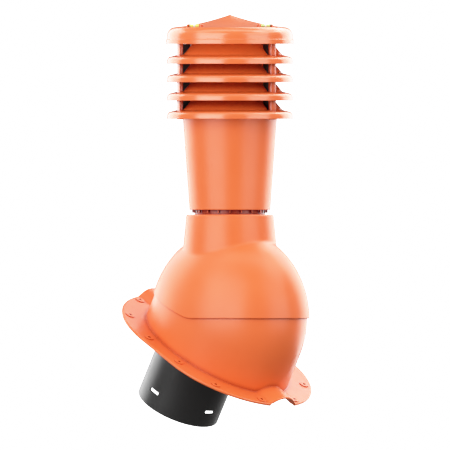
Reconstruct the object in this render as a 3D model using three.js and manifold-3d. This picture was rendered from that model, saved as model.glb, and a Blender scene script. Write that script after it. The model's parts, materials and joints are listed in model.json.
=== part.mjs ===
// Adjustable roof vent pipe for a pitched roof, in millimetres, +Z up.
// +X points down the roof's fall line and +Y runs across the roof. The origin is the centre of the
// flange's underside, over the opening in the roof. The flange lies at the roof's pitch, and the dome,
// the riser and the head above it stand upright.
import * as THREE from 'three';
import { mergeVertices } from 'three/addons/utils/BufferGeometryUtils.js';
import Module from 'manifold-3d';

// Driving dimensions. Heights in the lower group are above the flange's underside, along the roof's
// normal. Heights in the upper group are above the swivel axis.
const ROOF_PITCH = THREE.MathUtils.degToRad(30);
const SWIVEL_HEIGHT = 68.6;
const FIT_GAP = 0.35;

const FLANGE = { halfStraight: 43, endRadius: 150.5, thickness: 5, edge: 1.6 };
const SCREW_MARK = { radius: 8.5, rise: 1 };
const SCREW_MARK_PLACES = [[175, 40.5], [122.5, 110], [43, 132]];
const TILE_ROLL = { halfWidth: 30, rise: 15, wall: 3.6, channelStart: 157 };

const BASE_DOME = { radius: 153.6, halfWidth: 115.9, wall: 3, fillet: 8 };
const BASE_MOUTH = { lowAngle: 42, highAngle: 156 };

const DUCT = { radius: 75, endRadius: 74.6, wall: 3, offset: -35, drop: 129.5, lip: 5, lipHeight: 3 };
const DUCT_SLOT = { width: 22, height: 6.5, fromEnd: 30, count: 4 };

const COVER = { radius: 158.4, halfWidth: 119.7, wall: 2 };
const COVER_EDGE = { bendX: 10, rise: 0.36, bendReach: 14 };
const NECK = { footHeight: 100, footRadius: 85.1, topHeight: 183.2, topRadius: 77, round: 3.5, wall: 3 };

const RISER = { bottom: 191.1, bottomRadius: 71.4, taper: 0.0725, wall: 3 };
const SPIGOT = { radius: 62.2, wall: 3, bottom: 150 };
const TEETH = { count: 20, radius: 65, depth: 3.2, width: 2.3, height: 5 };

const RING = { count: 4, firstRim: 351.3, pitch: 32.3, radius: 110.7, skirt: 6, shoulder: 7.4, wall: 2.6 };
const RING_SHELF = { innerRadius: 92.6, height: 16.2 };
const RING_THROAT = { radius: 75.5, height: 36 };
const POST = { count: 3, firstAngle: 6.9, radius: 94.7, width: 14, depth: 6.8, notch: 21, below: 1 };

const CAP = { rim: 483.3, lipRadius: 112.5, lipHeight: 8, radius: 111, shoulder: 15.5, wall: 3 };
const CAP_TOP = { eave: 29.9, rise: 21.8, reach: 102, power: 1.6 };
const VIAL = { radius: 2.6, length: 26, fromAxis: 87, height: 32.3 };
const VIAL_ANGLES = [0, -90];
const VIAL_SEAT = { tabLength: 4, tabWidth: 7.4, tabTop: 34.8, floor: 29.4, pocketWidth: 13.4 };

const SIDES = 32;
const MARK_SIDES = 8;
const ROUND_STEPS = 2;
const VIAL_SIDES = 10;
const FLANGE_STEPS = 14;
const ROLL_STEPS = 5;
const EDGE_STEPS = 4;
const DOME_STEPS = 8;
const CAP_STEPS = 4;
const CAP_SHOULDER_STEPS = 4;
const CAP_INNER_STEPS = 2;
const OVERRUN = 60;
const WELD = 1e-4;

const wasm = await Module();
wasm.setup();

// A closed geometry as a solid that can be joined and cut.
function solid(geometry) {
  const bare = geometry.clone();
  bare.deleteAttribute('normal');
  bare.deleteAttribute('uv');
  const welded = mergeVertices(bare, WELD);
  const corners = welded.index.array;
  const triVerts = [];
  for (let i = 0; i < corners.length; i += 3) {
    const [a, b, c] = corners.slice(i, i + 3);
    if (a !== b && b !== c && c !== a) triVerts.push(a, b, c);
  }
  return new wasm.Manifold(new wasm.Mesh({
    numProp: 3,
    vertProperties: new Float32Array(welded.attributes.position.array),
    triVerts: new Uint32Array(triVerts),
  }));
}

function meshOf(name, body, material) {
  const data = body.getMesh();
  const geometry = new THREE.BufferGeometry();
  geometry.setAttribute('position', new THREE.BufferAttribute(new Float32Array(data.vertProperties), 3));
  geometry.setIndex(new THREE.BufferAttribute(new Uint32Array(data.triVerts), 1));
  geometry.computeVertexNormals();
  const mesh = new THREE.Mesh(geometry, material);
  mesh.name = name;
  return mesh;
}

// A profile of [radius, height] points turned about Z. It runs outward, up and back.
function turned(profile) {
  const points = profile.map(([radius, height]) => new THREE.Vector2(radius, height));
  return new THREE.LatheGeometry(points, SIDES).rotateX(Math.PI / 2);
}

// A turned profile that closes on itself, as a tube does.
function turnedRing(profile) {
  return turned([...profile, profile[0]]);
}

// A box between two heights, its middle at a distance along X.
function block(lengthX, lengthY, low, high, x) {
  return new THREE.BoxGeometry(lengthX, lengthY, high - low).translate(x, 0, (low + high) / 2);
}

function rod(radius, low, high, sides) {
  const geometry = new THREE.CylinderGeometry(radius, radius, high - low, sides);
  return geometry.rotateX(Math.PI / 2).translate(0, 0, (low + high) / 2);
}

// Points on an arc in a profile, from one angle to another in degrees.
function arc(centreX, centreY, radius, from, to, steps) {
  const points = [];
  for (let i = 0; i <= steps; i += 1) {
    const angle = THREE.MathUtils.degToRad(from + ((to - from) * i) / steps);
    points.push([centreX + radius * Math.cos(angle), centreY + radius * Math.sin(angle)]);
  }
  return points;
}

function plastic(colour, roughness) {
  return new THREE.MeshStandardMaterial({ color: colour, roughness, metalness: 0 });
}

const terracotta = () => plastic(0xe8743f, 0.42);
const blackPlastic = () => plastic(0x242424, 0.4);
const levelPlastic = () => plastic(0xd8e23a, 0.15);

function stadium() {
  const { halfStraight, endRadius } = FLANGE;
  const outline = new THREE.Shape();
  outline.absarc(halfStraight, 0, endRadius, -Math.PI / 2, Math.PI / 2);
  outline.absarc(-halfStraight, 0, endRadius, Math.PI / 2, (3 * Math.PI) / 2);
  return outline;
}

function makeFlangePlate() {
  const { thickness, edge } = FLANGE;
  return new THREE.ExtrudeGeometry(stadium(), {
    depth: thickness - 2 * edge,
    curveSegments: FLANGE_STEPS,
    bevelThickness: edge,
    bevelSize: edge,
    bevelOffset: -edge,
    bevelSegments: 1,
  }).translate(0, 0, edge);
}

// The dome's outside or inside: an upright oval wall up to the swivel axis, then a spheroid.
function domeBody(radius, halfWidth, floor, fillet) {
  const rounded = arc(radius + fillet, floor + fillet, fillet, 270, 180, ROUND_STEPS);
  const foot = fillet > 0 ? rounded : [[radius, floor]];
  const crown = arc(0, SWIVEL_HEIGHT, radius, 0, 90, DOME_STEPS);
  crown[crown.length - 1][0] = 0;
  return turned([[0, floor], ...foot, ...crown]).scale(1, halfWidth / radius, 1);
}

// A half-round roll along the fall line, or the channel under it.
function rollBody(wall, low, from) {
  const { halfWidth, rise } = TILE_ROLL;
  const radius = (halfWidth ** 2 + rise ** 2) / (2 * rise);
  const centre = FLANGE.thickness + rise - radius;
  const reach = Math.acos((FLANGE.thickness - centre) / radius);
  const outline = new THREE.Shape();
  outline.absarc(0, centre, radius - wall, Math.PI / 2 - reach, Math.PI / 2 + reach);
  outline.lineTo(-(radius - wall) * Math.sin(reach), low);
  outline.lineTo((radius - wall) * Math.sin(reach), low);
  const length = FLANGE.halfStraight + FLANGE.endRadius + OVERRUN - from;
  return new THREE.ExtrudeGeometry(outline, { depth: length, curveSegments: ROLL_STEPS, bevelEnabled: false })
    .rotateX(Math.PI / 2)
    .rotateZ(Math.PI / 2)
    .translate(from, 0, 0);
}

// Everything above the slanting mouth of the base dome.
function mouthCutter() {
  const edgePoint = (degrees) => {
    const angle = THREE.MathUtils.degToRad(degrees);
    const { radius } = BASE_DOME;
    return new THREE.Vector2(radius * Math.cos(angle), SWIVEL_HEIGHT + radius * Math.sin(angle));
  };
  const low = edgePoint(BASE_MOUTH.lowAngle);
  const high = edgePoint(BASE_MOUTH.highAngle);
  const slope = Math.atan2(low.y - high.y, low.x - high.x);
  const size = 4 * BASE_DOME.radius;
  return new THREE.BoxGeometry(size, size, size)
    .translate(0, 0, size / 2)
    .rotateY(-slope)
    .translate((low.x + high.x) / 2, 0, (low.y + high.y) / 2);
}

function makeBase() {
  const { thickness } = FLANGE;
  const { radius, halfWidth, wall, fillet } = BASE_DOME;
  const outline = solid(new THREE.ExtrudeGeometry(stadium(), {
    depth: thickness + 2 * TILE_ROLL.rise,
    curveSegments: FLANGE_STEPS,
    bevelEnabled: false,
  }));
  let body = solid(makeFlangePlate());
  const rollLow = thickness - FLANGE.edge;
  for (const turn of [0, Math.PI]) {
    const roll = solid(rollBody(0, rollLow, radius - 2 * fillet).rotateZ(turn));
    body = body.add(roll.intersect(outline));
  }
  body = body.add(solid(domeBody(radius, halfWidth, thickness, fillet)));
  for (const [x, y] of SCREW_MARK_PLACES) {
    for (const [signX, signY] of [[1, 1], [1, -1], [-1, 1], [-1, -1]]) {
      const mark = rod(SCREW_MARK.radius, thickness - FLANGE.edge, thickness + SCREW_MARK.rise, MARK_SIDES);
      body = body.add(solid(mark.translate(signX * x, signY * y, 0)));
    }
  }
  body = body.subtract(solid(domeBody(radius - wall, halfWidth - wall, thickness, 0)));
  for (const turn of [0, Math.PI]) {
    body = body.subtract(solid(rollBody(TILE_ROLL.wall, -OVERRUN, TILE_ROLL.channelStart).rotateZ(turn)));
  }
  body = body.subtract(solid(mouthCutter()));
  const ductHole = rod(DUCT.radius + FIT_GAP, -OVERRUN, thickness + FIT_GAP, SIDES);
  return body.subtract(solid(ductHole.translate(DUCT.offset, 0, 0)));
}

function makeDuct() {
  const { radius, endRadius, wall, drop, lip, lipHeight } = DUCT;
  const seat = FLANGE.thickness + FIT_GAP;
  let body = solid(turnedRing([
    [endRadius - wall, -drop],
    [endRadius, -drop],
    [radius, seat],
    [radius + lip, seat],
    [radius + lip, seat + lipHeight],
    [radius - wall, seat + lipHeight],
  ]));
  const slotMiddle = DUCT_SLOT.fromEnd - drop;
  for (let i = 0; i < DUCT_SLOT.count; i += 1) {
    const half = DUCT_SLOT.height / 2;
    const slot = block(OVERRUN, DUCT_SLOT.width, slotMiddle - half, slotMiddle + half, radius);
    body = body.subtract(solid(slot.rotateZ((2 * Math.PI * i) / DUCT_SLOT.count)));
  }
  return body;
}

function coverDome(radius, halfWidth, low) {
  const crown = arc(0, 0, radius, 0, 90, DOME_STEPS);
  crown[crown.length - 1][0] = 0;
  const foot = low < 0 ? [[0, low], [radius, low]] : [[0, 0]];
  return turned([...foot, ...crown]).scale(1, halfWidth / radius, 1);
}

// Everything under the cover's lower edge, which is level downhill and climbs uphill.
function coverEdgeCutter() {
  const { bendX, rise, bendReach } = COVER_EDGE;
  const far = -2 * COVER.radius;
  const climbX = bendX - bendReach;
  const edge = new THREE.Shape();
  edge.moveTo(bendX + bendReach, -OVERRUN);
  edge.lineTo(bendX + bendReach, 0);
  edge.quadraticCurveTo(bendX, 0, climbX, rise * bendReach);
  edge.lineTo(far, rise * (bendX - far));
  edge.lineTo(far, -OVERRUN);
  const width = 4 * COVER.halfWidth;
  return new THREE.ExtrudeGeometry(edge, { depth: width, curveSegments: EDGE_STEPS, bevelEnabled: false })
    .rotateX(Math.PI / 2)
    .translate(0, width / 2, 0);
}

function makeCover() {
  const { radius, halfWidth, wall } = COVER;
  const { footHeight, footRadius, topHeight, topRadius, round } = NECK;
  const shoulder = arc(topRadius - round, topHeight - round, round, 0, 90, ROUND_STEPS);
  const neck = turned([[0, footHeight], [footRadius, footHeight], ...shoulder, [0, topHeight]]);
  const neckInside = turned([
    [0, footHeight - OVERRUN],
    [footRadius - NECK.wall, footHeight - OVERRUN],
    [footRadius - NECK.wall, footHeight],
    [topRadius - NECK.wall, topHeight - NECK.wall],
    [0, topHeight - NECK.wall],
  ]);
  const bore = rod(SPIGOT.radius + FIT_GAP, footHeight, topHeight + OVERRUN, SIDES);
  return solid(coverDome(radius, halfWidth, 0))
    .add(solid(neck))
    .subtract(solid(coverDome(radius - wall, halfWidth - wall, -OVERRUN)))
    .subtract(solid(neckInside))
    .subtract(solid(bore))
    .subtract(solid(coverEdgeCutter()));
}

// The sloping part of a louvre ring seen in section, and the same line one wall further in.
const CONE_RUN = new THREE.Vector2(
  RING_THROAT.radius - RING_SHELF.innerRadius,
  RING_THROAT.height - RING_SHELF.height,
);
const CONE_IN = new THREE.Vector2(-CONE_RUN.y, CONE_RUN.x).normalize().multiplyScalar(RING.wall);

// Height of the underside of a ring's cone at a radius, above the ring's rim.
function coneUnderside(radius) {
  const share = (radius - RING_SHELF.innerRadius - CONE_IN.x) / CONE_RUN.x;
  return RING_SHELF.height + CONE_IN.y + share * CONE_RUN.y;
}

// Height of the underside of a ring's shelf at a radius, above the ring's rim.
function shelfUnderside(radius) {
  const innerRadius = RING_SHELF.innerRadius + CONE_IN.x;
  const innerHeight = RING_SHELF.height + CONE_IN.y;
  const outerRadius = RING.radius - RING.shoulder;
  const outerHeight = RING.skirt + RING.shoulder - RING.wall;
  const share = (radius - innerRadius) / (outerRadius - innerRadius);
  return innerHeight + share * (outerHeight - innerHeight);
}

function makeRiser() {
  const { bottom, bottomRadius, taper, wall } = RISER;
  const radiusAt = (height) => bottomRadius + taper * (height - bottom);
  const top = RING.firstRim + coneUnderside(radiusAt(RING.firstRim + RING_SHELF.height)) - 2 * FIT_GAP;
  let body = solid(turnedRing([
    [SPIGOT.radius - SPIGOT.wall, SPIGOT.bottom],
    [SPIGOT.radius, SPIGOT.bottom],
    [SPIGOT.radius, bottom],
    [bottomRadius, bottom],
    [radiusAt(top), top],
    [radiusAt(top) - wall, top],
    [radiusAt(bottom + wall) - wall, bottom + wall],
    [SPIGOT.radius - SPIGOT.wall, bottom + wall],
  ]));
  for (let i = 0; i < TEETH.count; i += 1) {
    const tooth = block(TEETH.depth, TEETH.width, bottom - TEETH.height, bottom + wall / 2, TEETH.radius);
    body = body.add(solid(tooth.rotateZ(-Math.PI / 4 + (2 * Math.PI * i) / TEETH.count)));
  }
  return body;
}

function makeRing(index, postTop) {
  const { radius, skirt, shoulder, wall } = RING;
  const inner = RING_SHELF.innerRadius;
  const underShelf = RING_SHELF.height + CONE_IN.y;
  let body = solid(turnedRing([
    [radius - wall, 0],
    [radius, 0],
    ...arc(radius - shoulder, skirt, shoulder, 0, 90, ROUND_STEPS),
    [inner, RING_SHELF.height],
    [RING_THROAT.radius, RING_THROAT.height],
    [RING_THROAT.radius + CONE_IN.x, RING_THROAT.height + CONE_IN.y],
    [inner + CONE_IN.x, underShelf],
    [radius - shoulder, skirt + shoulder - wall],
    [radius - wall, skirt],
  ]));
  const postLow = index === 0 ? -POST.below : RING_SHELF.height - wall;
  for (let i = 0; i < POST.count; i += 1) {
    const turn = THREE.MathUtils.degToRad(POST.firstAngle) + (2 * Math.PI * i) / POST.count;
    const notch = block(inner, POST.notch, 0, OVERRUN, inner / 2);
    const post = block(POST.depth, POST.width, postLow, postTop, POST.radius);
    body = body.subtract(solid(notch.rotateZ(turn))).add(solid(post.rotateZ(turn)));
  }
  return body;
}

function capTop(radius) {
  return CAP_TOP.eave + CAP_TOP.rise * (1 - radius / CAP_TOP.reach) ** CAP_TOP.power;
}

const CAP_SHOULDER_HEIGHT = CAP_TOP.eave - CAP.shoulder;
const CAP_FLAT_RADIUS = CAP.radius - CAP.shoulder;

function capSurface(drop, steps) {
  const points = [];
  for (let i = 1; i <= steps; i += 1) {
    const radius = CAP_FLAT_RADIUS * (1 - i / steps);
    points.push([radius, capTop(radius) - drop]);
  }
  return points;
}

function makeCap() {
  const { lipRadius, lipHeight, radius, shoulder, wall } = CAP;
  const lipStep = lipRadius - radius;
  const outside = turned([
    [0, 0],
    [lipRadius, 0],
    [lipRadius, lipHeight],
    [radius, lipHeight + lipStep],
    ...arc(CAP_FLAT_RADIUS, CAP_SHOULDER_HEIGHT, shoulder, 0, 90, CAP_SHOULDER_STEPS),
    ...capSurface(0, CAP_STEPS),
  ]);
  const inside = turned([
    [0, -OVERRUN],
    [radius - wall, -OVERRUN],
    ...arc(CAP_FLAT_RADIUS, CAP_SHOULDER_HEIGHT, shoulder - wall, 0, 90, CAP_INNER_STEPS),
    ...capSurface(wall, CAP_INNER_STEPS),
  ]);
  let body = solid(outside);
  for (const angle of VIAL_ANGLES) {
    const turn = THREE.MathUtils.degToRad(angle);
    const seatLength = VIAL.length + 2 * FIT_GAP;
    const { tabLength, tabWidth, tabTop, floor, pocketWidth } = VIAL_SEAT;
    const tabs = block(tabWidth, seatLength + 2 * tabLength, floor, tabTop, VIAL.fromAxis);
    const pocket = block(pocketWidth, seatLength, floor, tabTop + OVERRUN, VIAL.fromAxis);
    body = body.add(solid(tabs.rotateZ(turn))).subtract(solid(pocket.rotateZ(turn)));
  }
  return body.subtract(solid(inside));
}

function makeVial(angle) {
  const geometry = new THREE.CylinderGeometry(VIAL.radius, VIAL.radius, VIAL.length, VIAL_SIDES);
  return solid(geometry
    .translate(VIAL.fromAxis, 0, VIAL.height)
    .rotateZ(THREE.MathUtils.degToRad(angle)));
}

// Height of the cap's underside at a radius in its shoulder, above the cap's rim, taken at the flats of
// the faceted curve.
function capUnderside(radius) {
  const reach = (CAP.shoulder - CAP.wall) * Math.cos(Math.PI / (4 * CAP_INNER_STEPS));
  return CAP_SHOULDER_HEIGHT + Math.sqrt(reach ** 2 - (radius - CAP_FLAT_RADIUS) ** 2);
}

const lower = new THREE.Group();
lower.rotation.y = ROOF_PITCH;
lower.add(meshOf('base', makeBase(), terracotta()));
const duct = meshOf('duct_pipe', makeDuct(), blackPlastic());
duct.position.x = DUCT.offset;
lower.add(duct);

const upper = new THREE.Group();
upper.position.set(SWIVEL_HEIGHT * Math.sin(ROOF_PITCH), 0, SWIVEL_HEIGHT * Math.cos(ROOF_PITCH));
upper.add(meshOf('dome_cover', makeCover(), terracotta()));
upper.add(meshOf('riser_pipe', makeRiser(), terracotta()));

// The outer corners of a post, measured out to the corners of the many-sided ring above them.
const postCorner = Math.hypot(POST.radius + POST.depth / 2, POST.width / 2) / Math.cos(Math.PI / SIDES);
for (let i = 0; i < RING.count; i += 1) {
  const rim = RING.firstRim + i * RING.pitch;
  const last = i === RING.count - 1;
  const ceiling = last ? CAP.rim - rim + capUnderside(postCorner) : RING.pitch + shelfUnderside(postCorner);
  const ring = meshOf(`louvre_ring_${i + 1}`, makeRing(i, ceiling - FIT_GAP), terracotta());
  ring.position.z = rim;
  upper.add(ring);
}

const cap = meshOf('cap', makeCap(), terracotta());
cap.position.z = CAP.rim;
upper.add(cap);
VIAL_ANGLES.forEach((angle, i) => {
  const vial = meshOf(`level_vial_${i + 1}`, makeVial(angle), levelPlastic());
  vial.position.z = CAP.rim;
  upper.add(vial);
});

const vent = new THREE.Group();
vent.add(lower, upper);

export default vent;
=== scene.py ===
# Looks of the adjustable roof vent pipe. Shapes are worked out in millimetres, in two local frames: the
# lower one lies on the roof (s down the fall line, t across, h square to the roof), and the upper one
# stands upright on the swivel axis.
import json
import math

import bmesh
import bpy
import numpy as np
from mathutils import Matrix, Vector


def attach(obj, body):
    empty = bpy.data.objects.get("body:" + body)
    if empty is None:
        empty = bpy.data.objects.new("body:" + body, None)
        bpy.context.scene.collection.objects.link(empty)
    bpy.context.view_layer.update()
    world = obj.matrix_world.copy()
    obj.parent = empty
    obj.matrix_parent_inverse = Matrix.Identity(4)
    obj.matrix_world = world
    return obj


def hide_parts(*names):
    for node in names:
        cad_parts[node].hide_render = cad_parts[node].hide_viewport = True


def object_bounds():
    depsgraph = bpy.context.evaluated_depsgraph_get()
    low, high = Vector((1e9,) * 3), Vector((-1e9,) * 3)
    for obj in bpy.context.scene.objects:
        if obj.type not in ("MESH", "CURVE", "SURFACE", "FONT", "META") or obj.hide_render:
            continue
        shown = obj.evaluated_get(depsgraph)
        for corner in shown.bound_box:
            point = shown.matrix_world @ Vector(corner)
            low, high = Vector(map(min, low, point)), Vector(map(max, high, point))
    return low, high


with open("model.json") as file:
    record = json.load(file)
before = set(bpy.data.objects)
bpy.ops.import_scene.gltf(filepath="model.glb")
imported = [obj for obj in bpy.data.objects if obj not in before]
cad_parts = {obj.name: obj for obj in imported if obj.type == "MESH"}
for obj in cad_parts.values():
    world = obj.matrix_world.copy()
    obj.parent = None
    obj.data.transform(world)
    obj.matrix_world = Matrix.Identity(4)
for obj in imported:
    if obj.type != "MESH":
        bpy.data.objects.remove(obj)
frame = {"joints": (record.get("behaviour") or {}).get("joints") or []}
cad_low, cad_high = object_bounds()

MM = 0.001
SWIVEL = Vector(frame["joints"][0]["pos_m"])
PITCH = math.atan2(SWIVEL.x, SWIVEL.z)
SWIVEL_HEIGHT = SWIVEL.length / MM
LOWER = Matrix.Rotation(PITCH, 4, "Y")
UPPER = Matrix.Translation(SWIVEL)

# Sizes in millimetres and angles in degrees. Heights of the base and the duct are square to the roof.
# Those of the cover, neck, riser and cap rim are above the swivel axis, and those of the rings and of the
# rest of the cap are above their own rim.
FIT_GAP = 0.35
FLANGE = {"half_straight": 43.0, "end_radius": 150.5, "thickness": 5.0, "edge": 2.4}
MARK = {"radius": 8.5, "rise": 1.4, "edge": 0.3, "hole_radius": 2.6, "hole_depth": 3.2, "root": 2.5,
        "overshoot": 2.0}
MARK_PLACES = [(175.0, 40.5), (122.5, 110.0), (43.0, 132.0)]
ROLL = {"radius": 37.5, "rise": 15.0, "blend": 3.0, "wall": 3.6, "start": 157.0,
        "channel_half": 29.3, "channel_blend": 0.6, "lead": 2.0, "ramp": 3.0}
DOME = {"radius": 153.6, "half_width": 115.9, "wall": 3.0, "fillet": 0.6, "roll_fillet": 0.6,
        "floor_round": 3.0}
MOUTH = {"low_angle": 42.0, "high_angle": 156.0}
DUCT = {"radius": 75.0, "end_radius": 74.6, "wall": 3.0, "offset": -35.0, "drop": 129.5, "lip": 5.0,
        "lip_height": 3.0}
SLOT = {"width": 22.0, "height": 6.5, "from_end": 30.0, "count": 4, "depth": 60.0, "edge": 1.2}
COVER = {"radius": 158.4, "half_width": 119.7, "wall": 2.0}
COVER_EDGE = {"bend_x": 10.0, "rise": 0.36, "reach": 14.0, "bevel": 1.1}
NECK = {"foot": 100.0, "foot_radius": 85.1, "top": 183.2, "top_radius": 77.0, "wall": 3.0, "blend": 5.0,
        "middle": 150.0, "top_round": 4.0, "inner_start": 8.0, "inner_gap": 1.0}
SPIGOT_RADIUS = 62.2
RISER = {"foot": 150.0, "shoulder": 191.1, "shoulder_radius": 71.4, "top": 372.3, "top_radius": 84.5,
         "wall": 3.0, "inner_radius": 68.6}
TEETH = {"count": 20, "radius": 65.0, "depth": 3.2, "width": 2.3, "low": 186.1, "high": 192.6,
         "edge": 0.4, "first": -45.0}
RING = {"count": 4, "first": 351.3, "pitch": 32.3, "inner": 92.6}
RING_LINE = [
    (108.1, 0, 0.6), (110.7, 0, 0.9), (110.7, 11.46, 7.4), (92.6, 16.2, 1.5), (75.5, 36, 0.9),
    (73.53, 34.3, 0.9), (90.63, 14.5, 1.5), (108.1, 9.6, 4.5),
]
POST = {"count": 3, "first": 6.9, "radius": 94.7, "width": 14.0, "depth": 6.8, "notch": 21.0,
        "notch_height": 60.0, "edge": 1.2, "bite": 0.4}
# Black fins beside the posts, put in the notches where there is only shade: painted shade.
SHADE_FIN = {"from": 75.0, "to": 93.0, "thickness": 3.0, "low": 13.6, "high": 35.0, "edge": 0.5}
POST_TOPS = [44.0, 44.0, 44.0, 60.4]
POST_LOWS = [-1.0, 13.6, 13.6, 13.6]
CAP_RIM = 483.3
CAP_LIP = [
    (111, 13.2, 0.1), (111, 8.9, 0.8), (112.5, 8.0, 0.7), (112.5, 0, 0.9), (108, 0, 0.7), (108, 13.2, 0.1),
]
CAP_LIP_TOP = 11
CAP_TOP = {"eave": 29.9, "rise": 21.8, "reach": 102.0, "power": 1.6, "flat": 95.5, "round": 15.5,
           "wall": 3.0}
VIAL = {"radius": 2.6, "length": 26.0, "liquid_radius": 2.15, "end_wall": 0.8, "bubble": 7.0,
        "bubble_radius": 2.3, "from_axis": 87.0, "height": 32.3}
VIAL_ANGLES = [0.0, -90.0]
SEAT = {"length": 26.7, "tab": 4.0, "width": 7.4, "top": 34.8, "floor": 29.4, "pocket": 13.4,
        "pocket_height": 40.0, "edge": 1.0}

# How finely round shapes are divided, how corners are rounded, and how often the cover's edges are refined.
COLUMNS = 256
BASE_COLUMNS = 640
COVER_COLUMNS = 384
MARK_COLUMNS = 40
HOLE_COLUMNS = 24
VIAL_COLUMNS = 32
ARC_STEP = math.radians(15)
CORNER_SHARE = 0.6
GUARD_SHARE = 0.1
SHARP_ANGLE = math.radians(38)
EDGE_ROUNDS = 40
JOIN_ROUNDS = 50


def rounded(corners):
    """Points of a closed outline whose corners are (x, y, rounding)."""
    points = []
    count = len(corners)
    for i, (x, y, radius) in enumerate(corners):
        corner = np.array([x, y])
        before = np.array(corners[i - 1][:2]) - corner
        after = np.array(corners[(i + 1) % count][:2]) - corner
        length_before, length_after = np.linalg.norm(before), np.linalg.norm(after)
        before, after = before / length_before, after / length_after
        half = 0.5 * math.acos(np.clip(before @ after, -1, 1))
        reach = min(radius / math.tan(half), CORNER_SHARE * length_before, CORNER_SHARE * length_after)
        start, end = corner + before * reach, corner + after * reach
        middle = (before + after) / np.linalg.norm(before + after)
        centre = corner + middle * reach / math.cos(half)
        arc_radius = np.linalg.norm(start - centre)
        from_angle = math.atan2(*(start - centre)[::-1])
        swing = math.atan2(*(end - centre)[::-1]) - from_angle
        swing = (swing + math.pi) % (2 * math.pi) - math.pi
        steps = max(2, math.ceil(abs(swing) / ARC_STEP))
        points.append(start + before * GUARD_SHARE * reach)
        for step in range(steps + 1):
            angle = from_angle + swing * step / steps
            points.append(centre + arc_radius * np.array([math.cos(angle), math.sin(angle)]))
        points.append(end + after * GUARD_SHARE * reach)
    return np.array(points)


def mesh_piece(name, verts, faces, place):
    mesh = bpy.data.meshes.new(name)
    mesh.from_pydata(verts.tolist(), [], faces)
    mesh.transform(place @ Matrix.Scale(MM, 4))
    piece = bpy.data.objects.new(name, mesh)
    bpy.context.scene.collection.objects.link(piece)
    return piece


def skin(name, grid, place, closed=True):
    """A closed skin over columns of profile points; an open profile starts and ends on the axis."""
    columns, rows = grid.shape[:2]
    profile = grid[0]
    reach = np.hypot(profile[:, 0], profile[:, 1])
    height = profile[:, 2]
    turn = np.sum(reach * np.roll(height, -1) - np.roll(reach, -1) * height)
    if turn < 0:
        grid = grid[:, ::-1]
    index = np.arange(columns * rows).reshape(columns, rows)
    following = np.roll(index, -1, axis=0)
    faces = np.stack([index, following, np.roll(following, -1, 1), np.roll(index, -1, 1)], axis=-1)
    if not closed:
        faces = faces[:, :-1]
    piece = mesh_piece(name, grid.reshape(-1, 3), faces.reshape(-1, 4).tolist(), place)
    if not closed:
        edit(piece, lambda work: bmesh.ops.remove_doubles(work, verts=work.verts, dist=1e-7))
    return piece


def edit(piece, change):
    work = bmesh.new()
    work.from_mesh(piece.data)
    change(work)
    work.to_mesh(piece.data)
    work.free()


def lathe(name, profile, place, columns=COLUMNS, closed=True):
    angles = np.linspace(0, 2 * np.pi, columns, endpoint=False)
    grid = np.stack([
        np.outer(np.cos(angles), profile[:, 0]),
        np.outer(np.sin(angles), profile[:, 0]),
        np.tile(profile[:, 1], (columns, 1)),
    ], axis=-1)
    return skin(name, grid, place, closed)


def boxes(name, specs, bevel, place):
    """Rounded boxes in one mesh, each (size, centre, turn about the upright axis)."""
    work = bmesh.new()
    for size, centre, turn in specs:
        made = bmesh.ops.create_cube(work, size=1.0)["verts"]
        matrix = Matrix.Rotation(turn, 4, "Z") @ Matrix.Translation(centre) @ Matrix.Diagonal((*size, 1))
        bmesh.ops.transform(work, matrix=matrix, verts=made)
    if bevel > 0:
        bmesh.ops.bevel(work, geom=work.edges[:], offset=bevel, segments=3, profile=0.5, affect="EDGES")
    work.transform(place @ Matrix.Scale(MM, 4))
    mesh = bpy.data.meshes.new(name)
    work.to_mesh(mesh)
    work.free()
    piece = bpy.data.objects.new(name, mesh)
    bpy.context.scene.collection.objects.link(piece)
    return piece


def combine(piece, tool, operation):
    modifier = piece.modifiers.new("combine", "BOOLEAN")
    modifier.operation = operation
    modifier.solver = "MANIFOLD"
    modifier.object = tool
    bpy.context.view_layer.update()
    made = bpy.data.meshes.new_from_object(piece.evaluated_get(bpy.context.evaluated_depsgraph_get()))
    piece.modifiers.clear()
    piece.data = made
    bpy.data.objects.remove(tool)


def finish_piece(piece, body, slot, material, *nodes):
    piece.data.shade_smooth()
    piece.data.set_sharp_from_angle(angle=SHARP_ANGLE)
    piece.data.materials.clear()
    piece.data.materials.append(material)
    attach(piece, body)
    if nodes:
        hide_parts(*nodes)


def oval(cosine, sine, half_length, half_width):
    return 1 / np.sqrt((cosine / half_length) ** 2 + (sine / half_width) ** 2)


def smooth_top(value, blend):
    """The larger of the value and nought, with a soft corner."""
    return 0.5 * (value + np.sqrt(value ** 2 + blend ** 2))


def roll_height(t, radius, blend):
    drop = ROLL["radius"] - ROLL["rise"]
    arch = np.sqrt(np.maximum(radius ** 2 - t ** 2, 0)) - drop
    arch = np.where(np.abs(t) < radius, arch, -drop - (np.abs(t) - radius))
    return smooth_top(arch, blend) - smooth_top(np.array(-drop), blend)


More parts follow.
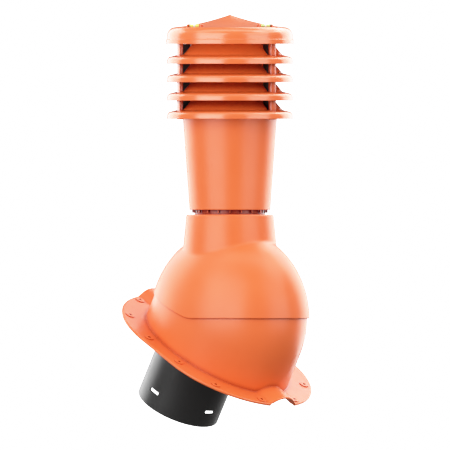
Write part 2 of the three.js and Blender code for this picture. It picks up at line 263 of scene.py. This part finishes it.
def make_base(terracotta):
    """Flange, tile rolls and dome as one skin, worked out along rays from the flange's centre."""
    thickness, edge = FLANGE["thickness"], FLANGE["edge"]
    angles = np.linspace(0, 2 * np.pi, BASE_COLUMNS, endpoint=False)
    cosine, sine = np.cos(angles), np.sin(angles)
    straight, end = FLANGE["half_straight"], FLANGE["end_radius"]
    on_side = np.abs(cosine) * end <= straight * np.abs(sine)
    side_reach = end / np.maximum(np.abs(sine), 1e-6)
    end_reach = straight * np.abs(cosine) + np.sqrt(end ** 2 - (straight * sine) ** 2)
    rim = np.where(on_side, side_reach, end_reach)
    wall = oval(cosine, sine, DOME["radius"], DOME["half_width"])
    inner_radius = DOME["radius"] - DOME["wall"]
    inner = oval(cosine, sine, inner_radius, DOME["half_width"] - DOME["wall"])
    hole = DUCT["offset"] * cosine + np.sqrt(
        (DUCT["radius"] + FIT_GAP) ** 2 - (DUCT["offset"] * sine) ** 2)

    def top_at(reach):
        return thickness + roll_height(reach * sine, ROLL["radius"], ROLL["blend"])

    def under_at(reach):
        along = np.abs(reach * cosine)
        open_share = np.clip((along - ROLL["start"] + ROLL["lead"]) / ROLL["ramp"], 0, 1)
        across = reach * sine
        channel = roll_height(across, ROLL["radius"] - ROLL["wall"], ROLL["channel_blend"]) + thickness
        channel = np.where(np.abs(across) < ROLL["channel_half"], channel, 0)
        return channel * open_share

    rows = []
    rim_low, rim_high = under_at(rim - edge), top_at(rim - edge)
    for swing in np.linspace(-90, 90, 11):
        lift = 0.5 * (rim_low + rim_high) + 0.5 * (rim_high - rim_low) * math.sin(math.radians(swing))
        rows.append((rim - edge + edge * math.cos(math.radians(swing)), lift))
    foot_lift = roll_height(wall * sine, ROLL["radius"], ROLL["blend"]) / ROLL["rise"]
    fillet = DOME["fillet"] + (DOME["roll_fillet"] - DOME["fillet"]) * foot_lift
    for share in np.linspace(0.04, 1, 15):
        reach = (rim - edge) * (1 - share) + (wall + fillet) * share
        rows.append((reach, top_at(reach)))
    foot_top = top_at(wall + fillet)
    for swing in np.linspace(10, 90, 9):
        reach = wall + fillet * (1 - math.sin(math.radians(swing)))
        rows.append((reach, foot_top + fillet * (1 - math.cos(math.radians(swing)))))
    for share in (0.05, 0.3, 0.6, 0.85, 1):
        rows.append((wall, (foot_top + fillet) * (1 - share) + SWIVEL_HEIGHT * share))

    low, high = math.radians(MOUTH["low_angle"]), math.radians(MOUTH["high_angle"])
    slope = (math.sin(low) - math.sin(high)) / (math.cos(low) - math.cos(high))
    level = DOME["radius"] * (math.sin(low) - slope * math.cos(low))

    def mouth_angle(reach, radius):
        pull = slope * cosine * reach
        return np.arctan2(pull, radius) + np.arcsin(level / np.hypot(radius, pull))

    def dome_rows(reach, radius, shares):
        mouth = mouth_angle(reach, radius)
        return [(reach * np.cos(mouth * f), SWIVEL_HEIGHT + radius * np.sin(mouth * f)) for f in shares]

    rows += dome_rows(wall, DOME["radius"], np.linspace(0.06, 1, 15))
    rows += dome_rows(inner, inner_radius, np.linspace(1, 0, 12))
    floor_round = DOME["floor_round"]
    for share in (0.3, 0.7, 1):
        height = SWIVEL_HEIGHT * (1 - share) + (thickness + floor_round) * share
        rows.append((inner, np.full_like(inner, height)))
    for swing in (30, 60, 90):
        reach = inner - floor_round * (1 - math.cos(math.radians(swing)))
        height = thickness + floor_round * (1 - math.sin(math.radians(swing)))
        rows.append((reach, np.full_like(inner, height)))
    for share in (0.1, 0.5, 0.9, 1):
        rows.append(((inner - floor_round) * (1 - share) + hole * share, np.full_like(inner, thickness)))
    for share in np.concatenate([[0, 0.05], np.linspace(0.15, 0.95, 22)]):
        reach = hole * (1 - share) + (rim - edge) * share
        rows.append((reach, under_at(reach)))
    reach = np.array([row[0] for row in rows]).T
    height = np.array([row[1] for row in rows]).T
    grid = np.stack([reach * cosine[:, None], reach * sine[:, None], height], axis=-1)
    piece = skin("base_moulding", grid, LOWER)

    bosses, holes = [], []
    signs = [(1, 1), (1, -1), (-1, 1), (-1, -1)]
    for x, y in MARK_PLACES:
        for sign_x, sign_y in signs:
            spot = LOWER @ Matrix.Translation(Vector((sign_x * x, sign_y * y, 0)) * MM)
            top = thickness + MARK["rise"]
            root, radius = MARK["root"], MARK["radius"]
            boss = rounded([
                (0.01, root, 0), (radius, root, 0.1), (radius, top, MARK["edge"]), (0.01, top, 0),
            ])
            boss_line = np.vstack([[0, root], boss[3:-3], [0, top]])
            bosses.append(lathe("boss", boss_line, spot, MARK_COLUMNS, False))
            depth, over = top - MARK["hole_depth"], top + MARK["overshoot"]
            hole_radius = MARK["hole_radius"]
            hole_line = np.array([(0, depth), (hole_radius, depth), (hole_radius, over), (0, over)])
            holes.append(lathe("hole", hole_line, spot, HOLE_COLUMNS, False))
    combine(piece, joined(bosses), "UNION")
    combine(piece, joined(holes), "DIFFERENCE")
    finish_piece(piece, "roof_base", "terracotta", terracotta, "base")


def joined(pieces):
    first = pieces[0]
    work = bmesh.new()
    for piece in pieces:
        work.from_mesh(piece.data)
    work.to_mesh(first.data)
    work.free()
    for piece in pieces[1:]:
        bpy.data.objects.remove(piece)
    return first


def make_duct(black):
    seat = FLANGE["thickness"] + FIT_GAP
    radius, wall, lip = DUCT["radius"], DUCT["wall"], DUCT["lip"]
    end = DUCT["end_radius"]
    lip_top = seat + DUCT["lip_height"]
    place = LOWER @ Matrix.Translation((DUCT["offset"] * MM, 0, 0))
    profile = rounded([
        (end - wall, -DUCT["drop"], 0.7), (end, -DUCT["drop"], 0.9), (radius, seat, 0.3),
        (radius + lip, seat, 0.4), (radius + lip, lip_top, 0.8), (radius - wall, lip_top, 0.8),
    ])
    piece = lathe("duct_tube", profile, place)
    middle = SLOT["from_end"] - DUCT["drop"]
    size = (SLOT["depth"], SLOT["width"], SLOT["height"])
    specs = [(size, (radius, 0, middle), 2 * math.pi * i / SLOT["count"]) for i in range(SLOT["count"])]
    combine(piece, boxes("slots", specs, SLOT["edge"], place), "DIFFERENCE")
    finish_piece(piece, "roof_base", "black_plastic", black, "duct_pipe")


def cover_edge(x):
    """Height of the cover's lower edge: level downhill, and rising uphill past a soft bend."""
    bend, rise, reach = COVER_EDGE["bend_x"], COVER_EDGE["rise"], COVER_EDGE["reach"]
    share = np.clip((bend + reach - x) / (2 * reach), 0, 1)
    return np.where(x > bend - reach, rise * reach * share ** 2, rise * (bend - x))


def neck_radius(height, wall):
    share = (height - NECK["foot"]) / (NECK["top"] - NECK["foot"])
    return NECK["foot_radius"] + (NECK["top_radius"] - NECK["foot_radius"]) * share - wall


def make_cover(terracotta):
    """Upper dome and neck as one skin, from the bevelled edge over the outside and back down the inside."""
    angles = np.linspace(0, 2 * np.pi, COVER_COLUMNS, endpoint=False)
    cosine, sine = np.cos(angles), np.sin(angles)

    def meridian(wall):
        radius = COVER["radius"] - wall
        reach = oval(cosine, sine, radius, COVER["half_width"] - wall)
        low = np.zeros_like(reach)
        for _ in range(EDGE_ROUNDS):
            low = np.arcsin(cover_edge(cosine * reach * np.cos(low)) / radius)
        under, over = low.copy(), np.full_like(reach, math.radians(75))
        neck_wall = NECK["wall"] if wall else 0
        for _ in range(JOIN_ROUNDS):
            trial = 0.5 * (under + over)
            outside = reach * np.cos(trial) > neck_radius(radius * np.sin(trial), neck_wall)
            under, over = np.where(outside, trial, under), np.where(outside, over, trial)
        return radius, reach, low, under

    def dome_point(radius, reach, angle):
        return reach * np.cos(angle), radius * np.sin(angle)

    rows = []
    radius, reach, low, join = meridian(0)
    foot = join - NECK["blend"] / radius
    bevel = COVER_EDGE["bevel"]
    low_reach, low_height = dome_point(radius, reach, low)
    rows.append((low_reach - bevel, low_height))
    low = low + bevel / radius
    for share in np.linspace(0, 1, 30):
        rows.append(dome_point(radius, reach, low * (1 - share) + foot * share))
    corner_reach, corner_height = dome_point(radius, reach, join)
    start_reach, start_height = rows[-1]
    end_height = corner_height + NECK["blend"]
    end_reach = neck_radius(end_height, 0)
    for share in np.linspace(0.14, 1, 7):
        near, mid, far = (1 - share) ** 2, 2 * share * (1 - share), share ** 2
        rows.append((near * start_reach + mid * corner_reach + far * end_reach,
                     near * start_height + mid * corner_height + far * end_height))
    ones = np.ones_like(reach)
    round_low = NECK["top"] - NECK["top_round"]
    for share in (0.3, 0.6, 0.9):
        height = end_height * (1 - share) + round_low * share
        rows.append((neck_radius(height, 0), height))
    neck_wall, middle, hole = NECK["wall"], NECK["middle"], SPIGOT_RADIUS + FIT_GAP
    under_top = NECK["top"] - neck_wall
    top = rounded([
        (neck_radius(middle, 0), middle, 0), (NECK["top_radius"], NECK["top"], 3.5),
        (hole, NECK["top"], 0.8), (hole, under_top, 0.6),
        (NECK["top_radius"] - neck_wall, under_top, 1.0), (neck_radius(middle, neck_wall), middle, 0),
    ])
    for x, z in top[5:-5]:
        rows.append((x * ones, z * ones))
    radius, reach, low, join = meridian(COVER["wall"])
    inner_high = NECK["top"] - NECK["inner_start"]
    inner_low = radius * np.sin(join) + NECK["inner_gap"]
    for share in (0.2, 0.7, 1):
        height = inner_high * (1 - share) + inner_low * share
        rows.append((neck_radius(height, NECK["wall"]), height))
    for share in np.linspace(0, 1, 24):
        rows.append(dome_point(radius, reach, join * (1 - share) + low * share))
    reach = np.array([row[0] for row in rows]).T
    height = np.array([row[1] for row in rows]).T
    grid = np.stack([reach * cosine[:, None], reach * sine[:, None], height], axis=-1)
    piece = skin("cover_shell", grid, UPPER)
    finish_piece(piece, "upright", "terracotta", terracotta, "dome_cover")


def make_riser(terracotta):
    wall, foot, top = RISER["wall"], RISER["foot"], RISER["top"]
    shoulder, inside = RISER["shoulder"], RISER["shoulder"] + wall
    spigot_inside = SPIGOT_RADIUS - wall
    profile = rounded([
        (spigot_inside, foot, 0.8), (SPIGOT_RADIUS, foot, 0.8), (SPIGOT_RADIUS, shoulder, 0.5),
        (RISER["shoulder_radius"], shoulder, 1.6), (RISER["top_radius"], top, 0.8),
        (RISER["top_radius"] - wall, top, 0.8), (RISER["inner_radius"], inside, 1.5),
        (spigot_inside, inside, 0.6),
    ])
    piece = lathe("riser_tube", profile, UPPER)
    size = (TEETH["depth"], TEETH["width"], TEETH["high"] - TEETH["low"])
    centre = (TEETH["radius"], 0, 0.5 * (TEETH["high"] + TEETH["low"]))
    first, pitch = math.radians(TEETH["first"]), 2 * math.pi / TEETH["count"]
    specs = [(size, centre, first + pitch * i) for i in range(TEETH["count"])]
    combine(piece, boxes("teeth", specs, TEETH["edge"], UPPER), "UNION")
    finish_piece(piece, "upright", "terracotta", terracotta, "riser_pipe")


def make_ring(index, terracotta, black):
    """A rain ring with its posts, and black fins beside them as painted shade in the notches."""
    place = UPPER @ Matrix.Translation((0, 0, (RING["first"] + RING["pitch"] * index) * MM))
    piece = lathe(f"louvre_{index + 1}", rounded(RING_LINE), place)
    notches, posts, shade_fins = [], [], []
    low, high = POST_LOWS[index], POST_TOPS[index]
    inner, notch_height = RING["inner"] - POST["bite"], POST["notch_height"]
    post_size = (POST["depth"], POST["width"], high - low)
    shade_fin_size = (SHADE_FIN["to"] - SHADE_FIN["from"], SHADE_FIN["thickness"], SHADE_FIN["high"] - SHADE_FIN["low"])
    shade_fin_centre = (0.5 * (SHADE_FIN["to"] + SHADE_FIN["from"]), 0, 0.5 * (SHADE_FIN["high"] + SHADE_FIN["low"]))
    for i in range(POST["count"]):
        turn = math.radians(POST["first"]) + 2 * math.pi * i / POST["count"]
        notches.append(((inner, POST["notch"], notch_height), (inner / 2, 0, notch_height / 2), turn))
        posts.append((post_size, (POST["radius"], 0, 0.5 * (high + low)), turn))
        shade_fins.append((shade_fin_size, shade_fin_centre, turn))
    combine(piece, boxes("notches", notches, 0, place), "DIFFERENCE")
    combine(piece, boxes("posts", posts, POST["edge"], place), "UNION")
    finish_piece(piece, "upright", "terracotta", terracotta, f"louvre_ring_{index + 1}")
    # Black fins that paint the shade in the notches beside the posts.
    shade_fin_piece = boxes(f"louvre_shade_fins_{index + 1}", shade_fins, SHADE_FIN["edge"], place)
    finish_piece(shade_fin_piece, "upright", "black_plastic", black)


def cap_line(drop, shares):
    reach = CAP_TOP["flat"] * shares
    height = CAP_TOP["eave"] + CAP_TOP["rise"] * (1 - reach / CAP_TOP["reach"]) ** CAP_TOP["power"] - drop
    return np.stack([reach, height], axis=-1)


def make_cap(terracotta):
    place = UPPER @ Matrix.Translation((0, 0, CAP_RIM * MM))
    wall, flat, outer = CAP_TOP["wall"], CAP_TOP["flat"], CAP_TOP["round"]
    inner = outer - wall
    shoulder = CAP_TOP["eave"] - outer
    swing = np.radians(np.linspace(86, 0, 12))
    outer_arc = np.stack([flat + outer * np.cos(swing), shoulder + outer * np.sin(swing)], axis=-1)
    swing = np.radians(np.linspace(0, 88, 10))
    inner_arc = np.stack([flat + inner * np.cos(swing), shoulder + inner * np.sin(swing)], axis=-1)
    lip = rounded(CAP_LIP)
    lip = lip[lip[:, 1] < CAP_LIP_TOP]
    outer_top = cap_line(0, np.linspace(0, 0.99, 26))
    inner_top = cap_line(wall, np.linspace(0.99, 0, 18))
    profile = np.vstack([outer_top, outer_arc, lip, inner_arc, inner_top])
    piece = lathe("cap_shell", profile, place, COLUMNS, False)
    tabs, pockets = [], []
    rise, deep = SEAT["top"] - SEAT["floor"], SEAT["pocket_height"]
    tab_size = (SEAT["width"], SEAT["length"] + 2 * SEAT["tab"], rise)
    pocket_size = (SEAT["pocket"], SEAT["length"], deep)
    for angle in VIAL_ANGLES:
        turn = math.radians(angle)
        tabs.append((tab_size, (VIAL["from_axis"], 0, SEAT["floor"] + rise / 2), turn))
        pockets.append((pocket_size, (VIAL["from_axis"], 0, SEAT["floor"] + deep / 2), turn))
    combine(piece, boxes("tabs", tabs, SEAT["edge"], place), "UNION")
    combine(piece, boxes("pockets", pockets, 0, place), "DIFFERENCE")
    finish_piece(piece, "upright", "terracotta", terracotta, "cap")


def make_vial(index, tube_look, liquid_look, bubble_look):
    """A level: a clear tube, the liquid in it and a bubble that shows through the top."""
    turn = math.radians(VIAL_ANGLES[index])
    centre = Vector((VIAL["from_axis"], 0, CAP_RIM + VIAL["height"])) * MM
    spot = UPPER @ Matrix.Rotation(turn, 4, "Z") @ Matrix.Translation(centre)
    place = spot @ Matrix.Rotation(-math.pi / 2, 4, "X")
    half = VIAL["length"] / 2

    def capsule(name, radius, reach, look, nodes):
        swing = np.radians(np.linspace(-90, 90, 19))
        squash = min(radius, reach)
        profile = np.stack([radius * np.cos(swing), squash * np.sin(swing)], axis=-1)
        profile[:, 1] += np.where(profile[:, 1] < 0, squash - reach, reach - squash)
        profile[[0, -1], 0] = 0
        piece = lathe(f"{name}_{index + 1}", profile, place, VIAL_COLUMNS, False)
        finish_piece(piece, "upright", "level_vial", look, *nodes)

    capsule("vial_tube", VIAL["radius"], half, tube_look, [f"level_vial_{index + 1}"])
    capsule("vial_liquid", VIAL["liquid_radius"], half - VIAL["end_wall"], liquid_look, [])
    capsule("vial_bubble", VIAL["bubble_radius"], VIAL["bubble"] / 2, bubble_look, [])


def new_material(name):
    material = bpy.data.materials.new(name)
    material.use_nodes = True
    return material, material.node_tree.nodes["Principled BSDF"]


def add_grain(tree, shader):
    grain = tree.nodes.new("ShaderNodeTexNoise")
    grain.inputs["Scale"].default_value = GRAIN["scale"]
    grain.inputs["Detail"].default_value = GRAIN["detail"]
    bump = tree.nodes.new("ShaderNodeBump")
    bump.inputs["Strength"].default_value = GRAIN["strength"]
    bump.inputs["Distance"].default_value = GRAIN["distance"]
    place = tree.nodes.new("ShaderNodeTexCoord")
    tree.links.new(place.outputs["Object"], grain.inputs["Vector"])
    tree.links.new(grain.outputs["Fac"], bump.inputs["Height"])
    tree.links.new(bump.outputs["Normal"], shader.inputs["Normal"])
    return place


def ramp_from_noise(tree, place, scale, low, high):
    noise = tree.nodes.new("ShaderNodeTexNoise")
    noise.inputs["Scale"].default_value = scale
    noise.inputs["Detail"].default_value = MOTTLE["detail"]
    ramp = tree.nodes.new("ShaderNodeValToRGB")
    ramp.color_ramp.elements[0].position = MOTTLE["from"]
    ramp.color_ramp.elements[1].position = MOTTLE["to"]
    ramp.color_ramp.elements[0].color = (*low, 1)
    ramp.color_ramp.elements[1].color = (*high, 1)
    tree.links.new(place.outputs["Object"], noise.inputs["Vector"])
    tree.links.new(noise.outputs["Fac"], ramp.inputs["Fac"])
    return ramp.outputs["Color"]


def paint_shade_in_hollows(tree, colour, deep, reach):
    """Painted shade: the colour deepens in hollows, where plastic faces plastic at close range."""
    room = tree.nodes.new("ShaderNodeAmbientOcclusion")
    room.samples = PAINTED_HOLLOW_SHADE["samples"]
    room.inputs["Distance"].default_value = reach * MM
    share = tree.nodes.new("ShaderNodeMapRange")
    share.inputs["From Min"].default_value = PAINTED_HOLLOW_SHADE["closed"]
    share.inputs["From Max"].default_value = PAINTED_HOLLOW_SHADE["open"]
    mix = tree.nodes.new("ShaderNodeMix")
    mix.data_type = "RGBA"
    mix.inputs[MIX["from"]].default_value = (*deep, 1)
    tree.links.new(room.outputs["AO"], share.inputs["Value"])
    tree.links.new(share.outputs["Result"], mix.inputs[MIX["share"]])
    tree.links.new(colour, mix.inputs[MIX["to"]])
    return mix.outputs[MIX["result"]]


def moulded_plastic(name, low, high, deep, rough_low, rough_high, sheen, painted_shade_reach):
    material, shader = new_material(name)
    tree = material.node_tree
    shader.inputs["Specular IOR Level"].default_value = sheen
    place = add_grain(tree, shader)
    colour = ramp_from_noise(tree, place, MOTTLE["colour_scale"], low, high)
    # The base colour carries painted shade in hollows.
    tree.links.new(paint_shade_in_hollows(tree, colour, deep, painted_shade_reach), shader.inputs["Base Color"])
    rough = ramp_from_noise(tree, place, MOTTLE["rough_scale"], [rough_low] * 3, [rough_high] * 3)
    tree.links.new(rough, shader.inputs["Roughness"])
    return material


def plain_look(name, colour, roughness, alpha=1.0):
    material, shader = new_material(name)
    shader.inputs["Base Color"].default_value = (*colour, 1)
    shader.inputs["Roughness"].default_value = roughness
    shader.inputs["IOR"].default_value = GLASS_IOR
    shader.inputs["Alpha"].default_value = alpha
    return material


GRAIN = {"scale": 900, "detail": 3, "strength": 0.12, "distance": 0.0001}
MOTTLE = {"colour_scale": 9, "rough_scale": 14, "detail": 4, "from": 0.35, "to": 0.65}
# Painted shade in hollows: occlusion levels between which the colour goes from its shade colour to its own
# colour.
PAINTED_HOLLOW_SHADE = {"closed": 0.32, "open": 0.80, "samples": 8}
# Places of the colour sockets on the mix node, whose names repeat for other kinds of data.
MIX = {"share": 0, "from": 6, "to": 7, "result": 2}
GLASS_IOR = 1.45
# Each plastic: its two mottle colours, then the colour of its painted shade in hollows.
CLAY = [(0.80, 0.155, 0.043), (0.84, 0.170, 0.051), (0.24, 0.004, 0.002)]
COAL = [(0.022, 0.022, 0.022), (0.028, 0.028, 0.028), (0.012, 0.012, 0.012)]
SATIN = moulded_plastic(
    "terracotta_satin", *CLAY, rough_low=0.33, rough_high=0.39, sheen=0.5, painted_shade_reach=15)
GLOSSY = moulded_plastic(
    "terracotta_glossy", *CLAY, rough_low=0.20, rough_high=0.25, sheen=1.0, painted_shade_reach=32)
BLACK = moulded_plastic(
    "black_plastic_skin", *COAL, rough_low=0.34, rough_high=0.44, sheen=0.7, painted_shade_reach=15)
TUBE = plain_look("clear_tube", (1.0, 1.0, 0.92), roughness=0.04, alpha=0.18)
LIQUIDS = [plain_look("liquid_green", (0.55, 0.85, 0.16), roughness=0.12),
           plain_look("liquid_yellow", (0.85, 0.88, 0.05), roughness=0.12)]
BUBBLE = plain_look("vial_air", (0.95, 0.97, 0.90), roughness=0.06)

make_base(SATIN)
make_duct(BLACK)
make_cover(SATIN)
make_riser(SATIN)
for ring_index in range(RING["count"]):
    make_ring(ring_index, GLOSSY, BLACK)
make_cap(GLOSSY)
for vial_index in range(len(VIAL_ANGLES)):
    make_vial(vial_index, TUBE, LIQUIDS[vial_index], BUBBLE)

VIEW_AZIMUTH = math.radians(45)
BACK = Vector((math.sin(VIEW_AZIMUTH), -math.cos(VIEW_AZIMUTH), 0))
RIGHT = Vector((math.cos(VIEW_AZIMUTH), math.sin(VIEW_AZIMUTH), 0))
AIM_LEFT = 8.6
AIM_UP = 164.7
AIM = SWIVEL - RIGHT * AIM_LEFT * MM + Vector((0, 0, AIM_UP * MM))
VIEW_WIDTH = 0.792
CAMERA_DISTANCE = 3
WATTS_PER_RADIANCE = 4
# Each panel: its name, the azimuths and elevations it covers in degrees, its distance and its radiance.
# Azimuth is counted from the camera, and is positive to the right in the picture.
PANELS = [
    ("left_panel", (-62, -12), (16, 44), 2.0, 2.3),
    ("right_panel", (32, 74), (16, 44), 2.0, 1.4),
    ("right_top", (75, 125), (38, 66), 2.0, 1.9),
    ("left_low", (-62, -12), (-14, 16), 2.0, 2.9),
    ("right_low", (32, 74), (-14, 16), 2.0, 1.9),
    ("back_left", (-158, -106), (-20, 45), 2.0, 2.6),
    ("back_right", (112, 160), (-20, 45), 2.0, 2.6),
    ("back_high", (142, 168), (36, 62), 2.0, 2.4),
    ("overhead", (-40, 40), (64, 89), 1.8, 1.5),
]
SURROUND = {"above": 0.28, "below": 0.22, "low_z": -0.25, "high_z": 0.5}
BACKDROP = 2.5
FLOOR = {"half": 4000.0, "gap": 4.0, "grey": 0.45, "roughness": 0.9, "glow": 0.95}
TONE_WHITE = 2.0
COMBINED_CURVE = 3
TONE_LEVELS = [(0.02, 0.013), (0.06, 0.053), (0.2, 0.2), (0.6, 0.62), (1.0, 0.90), (1.4, 0.975)]


def add_camera():
    data = bpy.data.cameras.new("camera")
    data.type = "ORTHO"
    data.ortho_scale = VIEW_WIDTH
    camera = bpy.data.objects.new("camera", data)
    bpy.context.scene.collection.objects.link(camera)
    camera.location = AIM + BACK * CAMERA_DISTANCE
    camera.rotation_euler = (-BACK).to_track_quat("-Z", "Y").to_euler()
    bpy.context.scene.camera = camera


def add_softbox(name, azimuths, elevations, distance, radiance):
    """A soft panel that covers a range of directions around the object, as seen from it."""
    azimuth = math.radians(0.5 * sum(azimuths))
    elevation = math.radians(0.5 * sum(elevations))
    outward = (BACK * math.cos(azimuth) + RIGHT * math.sin(azimuth)) * math.cos(elevation)
    outward.z = math.sin(elevation)
    data = bpy.data.lights.new(name, "AREA")
    data.shape = "RECTANGLE"
    data.size = 2 * distance * math.tan(math.radians(0.5 * (azimuths[1] - azimuths[0])))
    data.size_y = 2 * distance * math.tan(math.radians(0.5 * (elevations[1] - elevations[0])))
    data.energy = radiance * data.size * data.size_y * WATTS_PER_RADIANCE
    light = bpy.data.objects.new(name, data)
    bpy.context.scene.collection.objects.link(light)
    light.location = AIM + outward * distance
    light.rotation_euler = outward.to_track_quat("Z", "Y").to_euler()
    light.visible_camera = False


def add_world():
    """White behind the object, and a soft surround that is lighter above than below."""
    world = bpy.data.worlds.new("studio")
    bpy.context.scene.world = world
    world.use_nodes = True
    tree = world.node_tree
    backdrop = tree.nodes["Background"]
    backdrop.inputs["Color"].default_value = (1, 1, 1, 1)
    backdrop.inputs["Strength"].default_value = BACKDROP
    surround = tree.nodes.new("ShaderNodeBackground")
    surround.inputs["Color"].default_value = (1, 1, 1, 1)
    place = tree.nodes.new("ShaderNodeTexCoord")
    split = tree.nodes.new("ShaderNodeSeparateXYZ")
    level = tree.nodes.new("ShaderNodeMapRange")
    level.interpolation_type = "SMOOTHSTEP"
    level.inputs["From Min"].default_value = SURROUND["low_z"]
    level.inputs["From Max"].default_value = SURROUND["high_z"]
    level.inputs["To Min"].default_value = SURROUND["below"]
    level.inputs["To Max"].default_value = SURROUND["above"]
    path = tree.nodes.new("ShaderNodeLightPath")
    mix = tree.nodes.new("ShaderNodeMixShader")
    tree.links.new(place.outputs["Generated"], split.inputs["Vector"])
    tree.links.new(split.outputs["Z"], level.inputs["Value"])
    tree.links.new(level.outputs["Result"], surround.inputs["Strength"])
    tree.links.new(path.outputs["Is Camera Ray"], mix.inputs["Fac"])
    tree.links.new(surround.outputs["Background"], mix.inputs[1])
    tree.links.new(backdrop.outputs["Background"], mix.inputs[2])
    tree.links.new(mix.outputs["Shader"], tree.nodes["World Output"].inputs["Surface"])


def set_tone():
    """A plain display with a soft shoulder; the levels are pairs of scene light and shown light."""
    view = bpy.context.scene.view_settings
    view.view_transform = "Standard"
    view.use_curve_mapping = True
    mapping = view.curve_mapping
    mapping.white_level = (TONE_WHITE, TONE_WHITE, TONE_WHITE)
    curve = mapping.curves[COMBINED_CURVE]
    for level, shown in TONE_LEVELS:
        curve.points.new(level / TONE_WHITE, shown)
    mapping.update()


def add_floor():
    """A pale floor that is seen by the camera and gives no light, shade or reflection to the object."""
    material, shader = new_material("pale_floor")
    shader.inputs["Base Color"].default_value = (FLOOR["grey"], FLOOR["grey"], FLOOR["grey"], 1)
    shader.inputs["Roughness"].default_value = FLOOR["roughness"]
    shader.inputs["Specular IOR Level"].default_value = 0
    shader.inputs["Emission Color"].default_value = (1, 1, 1, 1)
    shader.inputs["Emission Strength"].default_value = FLOOR["glow"]
    half = FLOOR["half"]
    level = cad_low.z / MM - FLOOR["gap"]
    corners = [(-half, -half), (half, -half), (half, half), (-half, half)]
    verts = np.array([(x, y, level) for x, y in corners])
    floor = mesh_piece("floor", verts, [(0, 1, 2, 3)], Matrix.Identity(4))
    floor.data.materials.append(material)
    floor.visible_diffuse = False
    floor.visible_glossy = False
    floor.visible_shadow = False


add_camera()
for panel in PANELS:
    add_softbox(*panel)
add_world()
add_floor()
set_tone()
